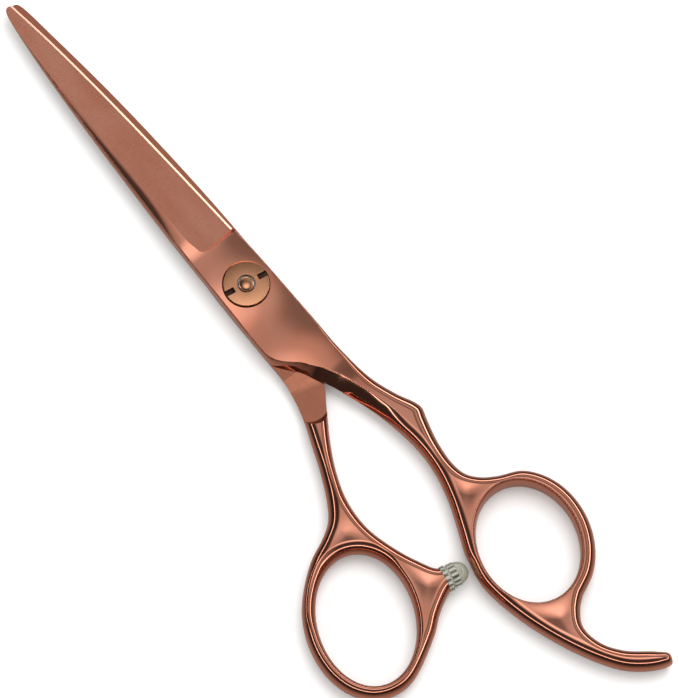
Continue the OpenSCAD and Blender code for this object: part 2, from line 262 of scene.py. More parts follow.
class Half:
    """The rounded solid of one half, symmetrical about the mating plane: where `level` is negative."""

    def __init__(self, shape):
        near = spline(shape["near"])
        far = spline(shape["far"])
        self.rim = np.vstack([near, far])
        self.outlines = [Outline(near, NEAR_EDGE, -1), Outline(far, FAR_EDGE[shape["name"]], 1),
                         Outline(shape["ring"].opening(), HOLE_EDGE[shape["name"]], -1)]

    def plan(self, q):
        """At each point q: how much the edges take from the height, its slope, and the face height."""
        x = q[:, 0]
        found = [o.away(q) for o in self.outlines]
        distance = np.stack([f[0] for f in found])
        nearest = distance.argmin(0)
        loss = np.zeros(len(q))
        slope = np.zeros((len(q), 2))
        clear = np.ones(len(q))
        for k, outline in enumerate(self.outlines):
            sign = np.where(~found[k][2] & (nearest == k), -1.0, 1.0)
            width = along(outline.rounding, x, 1)
            power = along(outline.rounding, x, 2)
            square = along(outline.rounding, x, 3)
            u = sign * distance[k] / width
            v = np.clip(u, 1e-4, 1)
            rise = 1 - (1 - v) ** power
            loss += np.where(u > 0, 1 - rise ** (2 / square), 1 - u * OUTSIDE_RISE)
            rate = np.where(u > 0, -(2 / square) * rise ** (2 / square - 1) * power * (1 - v) ** (power - 1),
                            -OUTSIDE_RISE) / width
            rate = np.where(u >= 1, 0, rate)
            slope += (rate * sign)[:, None] * found[k][1]
            t = np.clip((distance[k] - WEB_START) / WEB_RUN, 0, 1)
            clear *= t * t * (3 - 2 * t)
        face = along(FACE_HEIGHT, x) - along(CROWN, x) * (q[:, 1] / NECK_HALF_W) ** 2
        face -= along(SPINE_FALL, x) * np.maximum(0, SPINE_START - q[:, 1]) ** 2
        face -= along(WEB_DIP, x) * clear
        face += along(WAVE, x) * (np.cos(2 * math.pi * (x - WAVE_TOP) / WAVE_LENGTH) - 1)
        return loss, slope, face

    def level(self, p):
        """The field and its gradient at points p in space."""
        loss, slope, face = self.plan(p[:, :2])
        value = loss + (p[:, 2] / face) ** 2 - 1
        gradient = np.column_stack([slope, 2 * p[:, 2] / face ** 2])
        return value, gradient

    def normals(self, p):
        """The outward direction of the field at points p, and how far each is from the surface."""
        reach = 0.06
        gradient = np.empty((len(p), 3))
        value, near = self.level(p)
        gradient[:, 2] = near[:, 2]
        for axis in (0, 1):
            offset = np.zeros(3)
            offset[axis] = reach
            gradient[:, axis] = (self.level(p + offset)[0] - self.level(p - offset)[0]) / (2 * reach)
        size = np.maximum(np.linalg.norm(gradient, axis=1), 1e-6)
        return gradient / size[:, None], np.abs(value) / size

    def mesh(self):
        """Points and quads of the surface, in millimetres about the mating plane."""
        lowest = self.rim.min(0) - MARGIN
        counts = np.ceil((self.rim.max(0) + MARGIN - lowest) / CELL).astype(int) + 1
        gx = lowest[0] + CELL * np.arange(counts[0])
        gy = lowest[1] + CELL * np.arange(counts[1])
        layers = math.ceil((RING_T + 0.3) / CELL)
        gz = CELL * (np.arange(2 * layers) - layers + 0.5)
        flat = np.stack(np.meshgrid(gx, gy, indexing="ij"), -1).reshape(-1, 2)
        loss, _, face = self.plan(flat)
        value = loss[:, None] + (gz[None, :] / face[:, None]) ** 2 - 1
        value = value.reshape(len(gx), len(gy), len(gz))
        points, quads = surface_net(value, np.array([gx[0], gy[0], gz[0]]), CELL)
        points = self.onto_surface(points, 2)
        for _ in range(2):
            points = self.onto_surface(evened(points, quads), 2)
        return points, quads

    def onto_surface(self, points, rounds):
        for _ in range(rounds):
            f, g = self.level(points)
            step = -(f / np.maximum((g ** 2).sum(1), 1e-6))[:, None] * g
            length = np.linalg.norm(step, axis=1, keepdims=True)
            points = points + step * np.minimum(1, 0.3 * CELL / np.maximum(length, 1e-9))
        return points


def evened(points, quads, share=0.7):
    """Each point moved that share of the way to the middle of its neighbours, to even out the faces."""
    total = np.zeros_like(points)
    count = np.zeros(len(points))
    for k in range(4):
        a, b = quads[:, k], quads[:, (k + 1) % 4]
        for axis in range(3):
            total[:, axis] += np.bincount(a, points[b, axis], len(points))
            total[:, axis] += np.bincount(b, points[a, axis], len(points))
        count += np.bincount(a, minlength=len(points)) + np.bincount(b, minlength=len(points))
    return points + share * (total / count[:, None] - points)


def surface_net(value, origin, cell):
    """The surface between negative and positive grid values, as points and outward-facing quads."""
    solid = value < 0
    corner = [solid[i:solid.shape[0] - 1 + i, j:solid.shape[1] - 1 + j, k:solid.shape[2] - 1 + k]
              for i in (0, 1) for j in (0, 1) for k in (0, 1)]
    count = sum(c.astype(np.int8) for c in corner)
    active = (count > 0) & (count < 8)
    cells = np.argwhere(active)
    number = np.full(active.shape, -1, np.int64)
    number[active] = np.arange(len(cells))
    total = np.zeros((len(cells), 3))
    hits = np.zeros(len(cells))
    for axis in range(3):
        others = [a for a in range(3) if a != axis]
        for i in (0, 1):
            for j in (0, 1):
                start = cells.copy()
                start[:, others[0]] += i
                start[:, others[1]] += j
                stop = start.copy()
                stop[:, axis] += 1
                a = value[tuple(start.T)]
                b = value[tuple(stop.T)]
                cut = (a < 0) != (b < 0)
                t = a[cut] / (a[cut] - b[cut])
                place = start[cut].astype(float)
                place[:, axis] += t
                total[cut] += place
                hits[cut] += 1
    points = origin + cell * total / hits[:, None]
    quads = []
    for axis in range(3):
        u, v = (axis + 1) % 3, (axis + 2) % 3
        a = np.take(solid, range(solid.shape[axis] - 1), axis)
        b = np.take(solid, range(1, solid.shape[axis]), axis)
        edge = np.argwhere(a != b)
        outward = a[tuple(edge.T)]
        ring = []
        for du, dv in ((0, 0), (-1, 0), (-1, -1), (0, -1)):
            c = edge.copy()
            c[:, u] += du
            c[:, v] += dv
            ring.append(number[tuple(c.T)])
        ring = np.stack(ring, 1)
        quads.append(np.where(outward[:, None], ring, ring[:, ::-1]))
    return points, np.vstack(quads)


# ----------------------------------------
# Mesh helpers. Each face has a material number: polished outside, satin ground face, honed cutting
# bevel with a painted highlight, flat inner face with painted shade, or inside cut painted nearly black as
# shade
# ----------------------------------------
POLISHED, GROUND, HONED, FLAT, SHADED_CUT = range(5)


def new_object(name, points, faces, numbers=None):
    mesh = bpy.data.meshes.new(name)
    mesh.from_pydata(np.asarray(points).tolist(), [], [list(map(int, f)) for f in faces])
    mesh.update()
    if numbers is not None:
        for _ in range(max(numbers) + 1):
            mesh.materials.append(None)
        mesh.polygons.foreach_set("material_index", numbers)
    obj = bpy.data.objects.new(name, mesh)
    bpy.context.scene.collection.objects.link(obj)
    return obj


def with_number(obj, number):
    """Gives every face of obj that material number, with the slots that all cutters share."""
    obj.data.materials.clear()
    for _ in range(SHADED_CUT + 1):
        obj.data.materials.append(None)
    obj.data.polygons.foreach_set("material_index", [number] * len(obj.data.polygons))
    return obj


def prism(name, outline, z0, z1, outline_top=None):
    """A solid between two outlines with the same number of points."""
    top = outline if outline_top is None else outline_top
    n = len(outline)
    points = [(x, y, z0) for x, y in outline] + [(x, y, z1) for x, y in top]
    sides = [(i, (i + 1) % n, n + (i + 1) % n, n + i) for i in range(n)]
    return new_object(name, points, [list(range(n))[::-1], list(range(n, 2 * n))] + sides)


def box(name, x0, x1, y0, y1, z0, z1):
    return prism(name, [(x0, y0), (x1, y0), (x1, y1), (x0, y1)], z0, z1)


def lathe(name, profile, sides=128):
    """A closed [radius, height] profile turned about a vertical axis."""
    ring = len(profile)
    points = []
    for i in range(sides):
        a = 2 * math.pi * i / sides
        points += [(r * math.cos(a), r * math.sin(a), z) for r, z in profile]
    faces = [(i * ring + j, ((i + 1) % sides) * ring + j, ((i + 1) % sides) * ring + (j + 1) % ring,
              i * ring + (j + 1) % ring) for i in range(sides) for j in range(ring)]
    obj = new_object(name, points, faces)
    tidy(obj)
    return obj


def tidy(obj):
    """Closes up points that meet and turns every face outwards."""
    bm = bmesh.new()
    bm.from_mesh(obj.data)
    bmesh.ops.remove_doubles(bm, verts=bm.verts, dist=1e-6)
    bmesh.ops.dissolve_degenerate(bm, edges=bm.edges, dist=1e-6)
    bmesh.ops.recalc_face_normals(bm, faces=bm.faces)
    bm.to_mesh(obj.data)
    bm.free()


def combine(obj, other, operation):
    """Applies one boolean to obj and removes the other object."""
    change = obj.modifiers.new(operation, "BOOLEAN")
    change.operation = operation
    change.object = other
    change.solver = "MANIFOLD"
    graph = bpy.context.evaluated_depsgraph_get()
    result = bpy.data.meshes.new_from_object(obj.evaluated_get(graph))
    obj.modifiers.clear()
    old = obj.data
    obj.data = result
    bpy.data.meshes.remove(old)
    bpy.data.objects.remove(other)
    if not result.polygons:
        raise RuntimeError(f"{operation} left nothing of {obj.name}")
    return obj


def cut(obj, *cutters):
    for cutter in cutters:
        combine(obj, cutter, "DIFFERENCE")


def copy_of(obj, name):
    twin = obj.copy()
    twin.data = obj.data.copy()
    twin.name = name
    bpy.context.scene.collection.objects.link(twin)
    return twin


def smooth(obj, angle):
    """Shades obj smooth, but for edges sharper than the angle or between two material numbers."""
    mesh = obj.data
    mesh.shade_smooth()
    mesh.set_sharp_from_angle(angle=math.radians(angle))
    bm = bmesh.new()
    bm.from_mesh(mesh)
    for edge in bm.edges:
        if len({f.material_index for f in edge.link_faces}) > 1:
            edge.smooth = False
    bm.to_mesh(mesh)
    bm.free()


# ----------------------------------------
# The ground blade: cutters about the mating plane, edge towards +Y, outer face up
# ----------------------------------------
HEEL_X = -9.3
GRIND_SLOPE = 0.26
GRIND_LIFT = 0.17
HONE_SLOPE = 0.6
HONE_LIFT = 0.03
LEAN = math.tan(math.radians(30))       # of the ground face's shoulder and of the cove
SHOULDER_R = 2.4
SHOULDER_Y = -0.9                       # middle of the shoulder's round corner
COVE_AT = (24.0, 4.5)                   # middle of the round end of the step
COVE_R = 4.1
ABOVE = 5.0                             # clear of the steel on either side


def above_edge(name, edge, lift, slope, reach):
    """Everything above a surface that rises inwards from the cutting edge."""
    line = spline(edge, 1.0)
    line = np.vstack([line[0] + (line[0] - line[1]) * 4, line, line[-1] + (line[-1] - line[-2]) * 4])
    along_edge = np.gradient(line, axis=0)
    inward = np.stack([along_edge[:, 1], -along_edge[:, 0]], 1)
    inward /= np.linalg.norm(inward, axis=1, keepdims=True)
    stations = []
    for offset in (-2.0, reach):
        p = line + inward * offset
        stations.append(np.column_stack([p, np.full(len(p), lift + slope * offset)]))
    outer, inner = stations
    top_outer, top_inner = outer.copy(), inner.copy()
    top_outer[:, 2] = ABOVE
    top_inner[:, 2] = ABOVE
    points = np.stack([outer, inner, top_inner, top_outer], 1).reshape(-1, 3)
    n = len(line)
    faces = [(4 * i + j, 4 * i + (j + 1) % 4, 4 * i + 4 + (j + 1) % 4, 4 * i + 4 + j)
             for i in range(n - 1) for j in range(4)]
    faces += [(3, 2, 1, 0), (4 * n - 4, 4 * n - 3, 4 * n - 2, 4 * n - 1)]
    obj = new_object(name, points, faces)
    tidy(obj)
    return obj


def heel_outline(z):
    """The end of the ground face at height z: a leaning shoulder with a round corner."""
    end = HEEL_X - (NECK_T - z) * LEAN
    corner = [(end - SHOULDER_R + SHOULDER_R * math.cos(a), SHOULDER_Y + SHOULDER_R * math.sin(a))
              for a in np.linspace(0, -math.pi / 2, 16)]
    return [(end, 9)] + corner + [(-80, -9), (-80, 9)]


def ground_face(edge):
    """A cutter for the satin face, up to its leaning shoulder."""
    cutter = above_edge("ground_face", edge, GRIND_LIFT, GRIND_SLOPE, 13)
    shoulder = prism("shoulder", heel_outline(-1), -1, ABOVE - 1, heel_outline(ABOVE - 1))
    tidy(shoulder)
    return with_number(combine(with_number(cutter, GROUND), with_number(shoulder, POLISHED), "INTERSECT"),
                       GROUND)


def cutting_bevel(edge):
    """A cutter for the narrow honed strip along the edge."""
    cutter = above_edge("cutting_bevel", edge, HONE_LIFT, HONE_SLOPE, 1.2)
    limit = box("limit", -80, HEEL_X - (NECK_T - 0.2) * LEAN, -9, 9, -1, ABOVE - 1)
    return with_number(combine(with_number(cutter, HONED), with_number(limit, HONED), "INTERSECT"), HONED)


def cove(radius):
    """The round end of the step."""
    return [(COVE_AT[0] + radius * math.cos(a), COVE_AT[1] + radius * math.sin(a))
            for a in np.linspace(-math.pi / 2, math.pi / 2, 33)]


def mating_cut():
    """Below the mating plane back to the step, whose end is a leaning cove."""
    step = COVE_AT[0]
    outline = [(-80, -9), (step, -9)] + cove(COVE_R) + [(step, 12), (-80, 12)]
    spread = (ABOVE + HALF_GAP) * LEAN
    wider = [(x + spread, y) if x > step else (x, y) for x, y in outline]
    cutter = prism("mating_cut", wider, -ABOVE, HALF_GAP, outline)
    tidy(cutter)
    return with_number(cutter, FLAT)


def relief():
    """The thumb half is cut lower between the ride area and the cove, with a long ramp down to it."""
    depth = 0.5
    ramp = 2.6
    foot = 20.8
    step = COVE_AT[0]
    outline = [(foot, -3), (step, -3)] + cove(COVE_R - 0.1) + [(step, 12), (foot, 12)]
    back = ramp * (ABOVE + depth) / depth
    wider = [(x - back, y) if x == foot else (x, y) for x, y in outline]
    cutter = prism("relief", wider, -ABOVE, depth, outline)
    tidy(cutter)
    return with_number(cutter, FLAT)


def true_normals(obj, half):
    """Shades the rounded surface by the exact direction of its field, not by its small faces."""
    largest_gap = 0.03
    least_agreement = 0.75
    mesh = obj.data
    points = np.empty(len(mesh.vertices) * 3)
    mesh.vertices.foreach_get("co", points)
    exact, gap = half.normals(points.reshape(-1, 3))
    vertex = np.empty(len(mesh.loops), np.int32)
    mesh.loops.foreach_get("vertex_index", vertex)
    face_normal = np.empty(len(mesh.polygons) * 3)
    mesh.polygons.foreach_get("normal", face_normal)
    total = np.empty(len(mesh.polygons), np.int32)
    mesh.polygons.foreach_get("loop_total", total)
    number = np.empty(len(mesh.polygons), np.int32)
    mesh.polygons.foreach_get("material_index", number)
    face = np.repeat(np.arange(len(total)), total)
    agrees = (exact[vertex] * face_normal.reshape(-1, 3)[face]).sum(1) > least_agreement
    on_field = (gap[vertex] < largest_gap) & agrees & (number[face] == POLISHED)
    mesh.normals_split_custom_set(np.where(on_field[:, None], exact[vertex], 0.0).tolist())


def build_half(shape):
    """One half of the shears as a single solid about the mating plane."""
    half = Half(shape)
    points, quads = half.mesh()
    body = new_object(shape["name"], points, quads)
    with_number(body, POLISHED)
    cut(body, mating_cut(), ground_face(shape["edge"]), cutting_bevel(shape["edge"]))
    return body, half


def recess(radius, seat, bore):
    """A cutter for a round recess in the outer face, with a bore through its seat."""
    # The recess walls, seat and bore are given the nearly black painted shade
    return with_number(lathe("recess", [(0, -ABOVE), (bore, -ABOVE), (bore, seat), (radius, seat),
                                        (radius, NECK_T + 1), (0, NECK_T + 1)]), SHADED_CUT)


def chamfer(radius):
    """A cutter for the bright broken edge round a recess."""
    rim = NECK_T - 0.03
    return with_number(lathe("chamfer", [(0, rim - 0.1), (radius, rim - 0.1), (radius + 0.3, rim + 0.2),
                                         (0, rim + 0.2)]), POLISHED)


def washer_seat():
    """A cutter for the ride washer's seat in the inner face."""
    radius = WASHER_R + 0.1
    depth = MATING_Z - WASHER_LOW
    profile = [(0, -ABOVE), (radius, -ABOVE), (radius, depth), (0, depth)]
    return with_number(lathe("washer_seat", profile), FLAT)


def split_at_weld(body, blade_name, handle_name):
    """The blade's part and the handle's part of one half."""
    blade = copy_of(body, blade_name)
    combine(blade, with_number(box("cut", -90, WELD_X, -40, 40, -9, 9), POLISHED), "INTERSECT")
    combine(body, with_number(box("cut", WELD_X, 120, -40, 40, -9, 9), POLISHED), "INTERSECT")
    body.name = handle_name
    return blade, body


def place(obj, turned_over):
    """From millimetres about the mating plane to metres in the frame."""
    matrix = Matrix.Translation((0, 0, MATING_Z * MM)) @ Matrix.Scale(MM, 4)
    if turned_over:
        matrix = matrix @ Matrix.Rotation(math.pi, 4, "X")
    obj.data.transform(matrix)


def finger_half():
    body, half = build_half(FINGER)
    radius = DIAL_R + 0.15
    cut(body, recess(radius, RACE_LOW - MATING_Z, BUSHING_R), chamfer(radius))
    return (*split_at_weld(body, "finger_blade_steel", "finger_handle_steel"), half)


# Where the bumper stands on the thumb half, before that is turned over
LUG_AT = (66.4, 6.2)
LUG_TURN = math.radians(9.5)


def lug_cut():
    """What lies beyond the seat that the bumper stands on."""
    cutter = box("lug_cut", -5, 5, -9, 0, -4, 4)
    cutter.data.transform(Matrix.Translation((*LUG_AT, 0)) @ Matrix.Rotation(LUG_TURN, 4, "Z"))
    return with_number(cutter, FLAT)


def thumb_half():
    body, half = build_half(THUMB)
    cut(body, relief(), lug_cut(), recess(HEAD_R + 0.1, MATING_Z - HEAD_TOP, JOURNAL_R + 0.03), washer_seat())
    return (*split_at_weld(body, "thumb_blade_steel", "thumb_handle_steel"), half)


finger_blade, finger_handle, finger_field = finger_half()
thumb_blade, thumb_handle, thumb_field = thumb_half()
for piece, half, turned_over in ((finger_blade, finger_field, False), (finger_handle, finger_field, False),
                                 (thumb_blade, thumb_field, True), (thumb_handle, thumb_field, True)):
    smooth(piece, 32)
    true_normals(piece, half)
    place(piece, turned_over)

# ----------------------------------------
# Pivot fittings that show
# ----------------------------------------
KEY_TURN = math.radians(9.5)


def rounded(profile, radii):
    """A closed profile with each corner rounded by its radius."""
    steps = 4
    out = []
    n = len(profile)
    for i in range(n):
        a, b, c = (np.array(profile[k % n], float) for k in (i - 1, i, i + 1))
        r = radii[i]
        if not r:
            out.append(tuple(b))
            continue
        u = (a - b) / np.linalg.norm(a - b)
        v = (c - b) / np.linalg.norm(c - b)
        for t in np.linspace(0, 1, steps + 1):
            out.append(tuple(b + u * r * (1 - t) ** 2 + v * r * t ** 2))
    return out


def tension_dial():
    bore = 1.6
    blank_bore = bore - 0.3
    slot_half_width = 0.55
    slot_length = 1.85
    slot_depth = 0.9
    top = DIAL_TOP - 0.02
    profile = [(blank_bore, DIAL_LOW), (DIAL_R, DIAL_LOW), (DIAL_R, top), (blank_bore, top)]
    dial = with_number(lathe("tension_dial_turned", rounded(profile, [0, 0, 0.16, 0])), POLISHED)
    # The bore and both key slots are given the nearly black painted shade
    bored = lathe("bore", [(0, 0), (bore, 0), (bore, top - 0.12), (bore + 0.2, top + 0.08), (0, top + 0.08)])
    cut(dial, with_number(bored, SHADED_CUT))
    for side in (0, math.pi):
        key = box("key_slot", -slot_half_width, slot_half_width, DIAL_R - slot_length, DIAL_R + 1,
                  top - slot_depth, top + 1)
        key.data.transform(Matrix.Rotation(side - KEY_TURN, 4, "Z"))
        cut(dial, with_number(key, SHADED_CUT))
    return dial


def pivot_stud():
    dome_r = 1.42
    dome_rise = 0.42
    dome_z = STUD_TOP - dome_rise
    head = rounded([(0, 0), (HEAD_R, 0), (HEAD_R, HEAD_TOP)], [0, 0.2, 0])
    shank = [(JOURNAL_R, HEAD_TOP), (JOURNAL_R, RACE_LOW), (dome_r, RACE_LOW), (dome_r, dome_z)]
    dome = [(dome_r * math.cos(a), dome_z + dome_rise * math.sin(a)) for a in np.linspace(0, math.pi / 2, 10)]
    stud = with_number(lathe("pivot_stud_turned", head + shank + dome[1:]), POLISHED)
    # The driver slot is given the nearly black painted shade
    cut(stud, with_number(box("driver_slot", -0.45, 0.45, -2.6, 2.6, -1, 0.4), SHADED_CUT))
    return stud


dial = tension_dial()
stud = pivot_stud()
for piece in (dial, stud):
    piece.data.transform(Matrix.Scale(MM, 4))
    smooth(piece, 30)

# ----------------------------------------
# The bumper: a ribbed silicone cap on its post
# ----------------------------------------
RIBS = 14
CAP_SIDES = 168
CAP_BORE = 0.9
CAP_BORE_DEPTH = 2.4
CAP_DOME_Z = 2.62
CAP_R = 2.14
# Ribs take a whiter material as a painted highlight, the grooves between them a darker one as painted shade
BODY, RIB_HIGHLIGHT, GROOVE_SHADE = range(3)            # material numbers of the cap's faces


def cap_profile():
    """The cap's outside, [radius, height], from its mouth over the collar and the groove to the dome."""
    wall = [(CAP_BORE, 0), (2.35, 0), (2.52, 0.12), (2.55, 0.4), (2.55, 0.85), (2.48, 1.0), (2.2, 1.08),
            (2.12, 1.2), (2.12, 1.32), (2.12, 1.42), (2.12, 1.55), (2.13, 2.2), (CAP_R, CAP_DOME_Z)]
    return wall + [(CAP_R * math.cos(a), CAP_DOME_Z + 2.2 * math.sin(a))
                   for a in np.linspace(0.12, math.pi / 2, 14)]


def band(z, bottom, bottom_run, top, top_run):
    """1 between two heights, and 0 beyond them, with a slope at either end."""
    return min(1, max(0, (z - bottom) / bottom_run)) * min(1, max(0, (top - z) / top_run))


def crest(angle):
    """1 on a rib and 0 between two ribs."""
    wave = 0.5 + 0.5 * math.cos(RIBS * angle)
    return min(1, max(0, (wave - 0.35) * 4))


def cap_radius(r, z, on_rib):
    """The radius with the ribs raised on the wall and the gaps between them notched into the collar."""
    if r <= 1:
        return r
    rib = 0.24 * on_rib * band(z, 1.25, 0.1, 2.9, 0.35)
    notch = 0.16 * (1 - on_rib) * band(z, 0.05, 0.2, 0.95, 0.1)
    return r + rib - notch


# Faces on the ribs get the painted highlight, faces between the ribs the painted shade
def cap_number(z, on_rib):
    if not (0.05 < z < 0.9 or 1.3 < z < 2.7):
        return BODY
    return RIB_HIGHLIGHT if on_rib > 0.5 else GROOVE_SHADE


def bumper_cap():
    """A round cap whose radius follows its height, with a blind bore for the post."""
    profile = cap_profile()
    n = len(profile)
    angles = [2 * math.pi * i / CAP_SIDES for i in range(CAP_SIDES)]
    crests = [crest(a) for a in angles]
    points = [(cap_radius(r, z, on_rib) * math.cos(a), cap_radius(r, z, on_rib) * math.sin(a), z)
              for a, on_rib in zip(angles, crests) for r, z in profile]
    base = len(points)
    points += [(CAP_BORE * math.cos(a), CAP_BORE * math.sin(a), CAP_BORE_DEPTH) for a in angles]
    faces = []
    numbers = []
    for i in range(CAP_SIDES):
        k = (i + 1) % CAP_SIDES
        for j in range(n - 1):
            faces.append((i * n + j, k * n + j, k * n + j + 1, i * n + j + 1))
            numbers.append(cap_number((profile[j][1] + profile[j + 1][1]) / 2, (crests[i] + crests[k]) / 2))
    faces += [(base + i, base + (i + 1) % CAP_SIDES, ((i + 1) % CAP_SIDES) * n, i * n)
              for i in range(CAP_SIDES)]
    faces.append([base + i for i in range(CAP_SIDES)][::-1])
    numbers += [BODY] * (CAP_SIDES + 1)
    obj = new_object("bumper_cap_moulded", points, faces, numbers)
    tidy(obj)
    lug = Matrix.Translation((LUG_AT[0], -LUG_AT[1], MATING_Z)) @ Matrix.Rotation(-LUG_TURN, 4, "Z")
    obj.data.transform(Matrix.Scale(MM, 4) @ lug @ Matrix.Rotation(-math.pi / 2, 4, "X"))
    return obj


bumper = bumper_cap()
smooth(bumper, 40)

# ----------------------------------------
# Materials
# ----------------------------------------


class Nodes:
    """Short names for the nodes of one material."""

    def __init__(self, name):
        self.material = bpy.data.materials.new(name)
        self.material.use_nodes = True
        self.tree = self.material.node_tree
        self.shader = self.tree.nodes["Principled BSDF"]
        self.place = self.add("ShaderNodeTexCoord").outputs["Object"]

    def add(self, kind, **settings):
        node = self.tree.nodes.new(kind)
        for key, value in settings.items():
            setattr(node, key, value)
        return node

    def link(self, out, into):
        self.tree.links.new(out, into)

    def scaled(self, x, y=None, z=None):
        """The place in units of 1/x, 1/y and 1/z millimetres, or of 1/x all three ways."""
        node = self.add("ShaderNodeMapping")
        node.inputs["Scale"].default_value = (x / MM, (y or x) / MM, (z or x) / MM)
        self.link(self.place, node.inputs["Vector"])
        return node.outputs["Vector"]

    def noise(self, vector, detail=3.0, rough=0.5):
        node = self.add("ShaderNodeTexNoise")
        node.inputs["Scale"].default_value = 1.0
        node.inputs["Detail"].default_value = detail
        node.inputs["Roughness"].default_value = rough
        self.link(vector, node.inputs["Vector"])
        return node.outputs["Fac"]

    def remap(self, value, low_in, high_in, low_out, high_out):
        node = self.add("ShaderNodeMapRange")
        for socket, number in zip(("From Min", "From Max", "To Min", "To Max"),
                                  (low_in, high_in, low_out, high_out)):
            node.inputs[socket].default_value = number
        self.link(value, node.inputs["Value"])
        return node.outputs["Result"]

    def colours(self, value, first, second):
        node = self.add("ShaderNodeMix", data_type="RGBA")
        node.inputs["A"].default_value = (*first, 1)
        node.inputs["B"].default_value = (*second, 1)
        self.link(value, node.inputs["Factor"])
        return node.outputs["Result"]

    def tint(self, value, low_in, high_in, first, second):
        return self.colours(self.remap(value, low_in, high_in, 0, 1), first, second)

    def bump(self, height, depth_mm, strength):
        node = self.add("ShaderNodeBump")
        node.inputs["Strength"].default_value = strength
        node.inputs["Distance"].default_value = depth_mm * MM
        self.link(height, node.inputs["Height"])
        self.link(node.outputs["Normal"], self.shader.inputs["Normal"])

    def set(self, **values):
        for key, value in values.items():
            self.shader.inputs[key.replace("_", " ")].default_value = value

    def into(self, **sockets):
        for key, out in sockets.items():
            self.link(out, self.shader.inputs[key.replace("_", " ")])


ROSE = (0.8, 0.345, 0.235)
ROSE_DEEP = (0.74, 0.285, 0.18)


def polished_rose_gold():
    """Mirror-polished coating: faint colour drift, wiping haze and hairline scratches."""
    m = Nodes("rose_gold_polished")
    m.set(Metallic=1.0)
    drift = m.noise(m.scaled(0.12), 2)
    m.into(Base_Color=m.tint(drift, 0.35, 0.65, ROSE, ROSE_DEEP))
    haze = m.noise(m.scaled(0.5, 0.9, 0.5), 5, 0.6)
    m.into(Roughness=m.remap(haze, 0.3, 0.7, 0.045, 0.1))
    hairlines = m.noise(m.scaled(0.6, 14, 14), 4, 0.7)
    m.bump(hairlines, 0.004, 0.12)
    return m.material


def ground_rose_gold():
    """The satin ground face: fine lines across the blade and a soft shine."""
    m = Nodes("rose_gold_ground")
    m.set(Metallic=1.0, Anisotropic=0.35)
    drift = m.noise(m.scaled(0.08, 0.2, 0.2), 2)
    m.into(Base_Color=m.tint(drift, 0.35, 0.65, ROSE, ROSE_DEEP))
    lines = m.noise(m.scaled(9, 0.35, 0.35), 4, 0.65)
    m.into(Roughness=m.remap(lines, 0.25, 0.75, 0.24, 0.36))
    m.bump(lines, 0.01, 0.16)
    return m.material


def honed_highlight_rose_gold():
    """The cutting bevel: a finely honed strip, coloured lighter and whiter than the coat as a painted
    highlight.
    """
    m = Nodes("rose_gold_honed_highlight")
    m.set(Metallic=1.0)
    lines = m.noise(m.scaled(16, 1.5, 1.5), 3, 0.6)
    # Lighter, whiter colours than the coat: a painted highlight along the cutting edge
    m.into(Base_Color=m.tint(lines, 0.3, 0.7, (0.93, 0.56, 0.43), (0.87, 0.48, 0.36)),
           Roughness=m.remap(lines, 0.3, 0.7, 0.08, 0.14))
    return m.material


def lapped_shaded_rose_gold():
    """Inner flat faces: lapped with fine lines along the blade, coloured darker than the coat as painted
    shade where the step lies under the other half.
    """
    m = Nodes("rose_gold_lapped_shaded")
    m.set(Metallic=1.0)
    lines = m.noise(m.scaled(0.3, 12, 12), 4, 0.65)
    # Darker colours than the coat: painted shade on the inner faces; the fine lines are the real lapping
    m.into(Base_Color=m.tint(lines, 0.3, 0.7, (0.53, 0.205, 0.125), (0.45, 0.17, 0.1)),
           Roughness=m.remap(lines, 0.3, 0.7, 0.14, 0.24))
    m.bump(lines, 0.006, 0.15)
    return m.material


def turned_bronze():
    """Metal turned on a lathe about the pivot: fine rings and the fan of light that they throw."""
    m = Nodes("bronze_turned")
    m.set(Metallic=1.0, Anisotropic=0.45)
    rings = m.add("ShaderNodeTexWave", wave_type="RINGS", rings_direction="Z")
    rings.inputs["Scale"].default_value = 2.2
    rings.inputs["Distortion"].default_value = 0.6
    rings.inputs["Detail"].default_value = 3
    rings.inputs["Detail Scale"].default_value = 1.5
    m.link(m.scaled(1), rings.inputs["Vector"])
    m.into(Base_Color=m.colours(rings.outputs["Fac"], (0.86, 0.43, 0.24), (0.58, 0.26, 0.14)),
           Roughness=m.remap(rings.outputs["Fac"], 0, 1, 0.12, 0.22))
    tangent = m.add("ShaderNodeTangent", direction_type="RADIAL", axis="Z")
    m.link(tangent.outputs["Tangent"], m.shader.inputs["Tangent"])
    m.bump(rings.outputs["Fac"], 0.01, 0.2)
    return m.material


def painted_shade_coat():
    """Inside cuts: a patchy, nearly matt coat, coloured nearly black as painted shade in the recesses, slots
    and bores.
    """
    m = Nodes("painted_shade_coat")
    m.set(Metallic=0.8)
    streaks = m.noise(m.scaled(2), 4, 0.6)
    # Nearly black colours: painted shade in the inside cuts
    m.into(Base_Color=m.tint(streaks, 0.3, 0.7, (0.1, 0.042, 0.03), (0.05, 0.022, 0.017)),
           Roughness=m.remap(streaks, 0.3, 0.7, 0.3, 0.5))
    m.bump(streaks, 0.01, 0.3)
    return m.material


def silicone(name, light, dark):
    """Milky see-through silicone: cloudy, finely uneven and dulled in patches."""
    m = Nodes(name)
    m.set(IOR=1.42, Transmission_Weight=0.72)
    cloud = m.noise(m.scaled(0.6), 3, 0.5)
    m.into(Base_Color=m.tint(cloud, 0.35, 0.65, light, dark),
           Roughness=m.remap(cloud, 0.3, 0.7, 0.05, 0.14))
    m.bump(m.noise(m.scaled(3), 3), 0.01, 0.15)
    return m.material


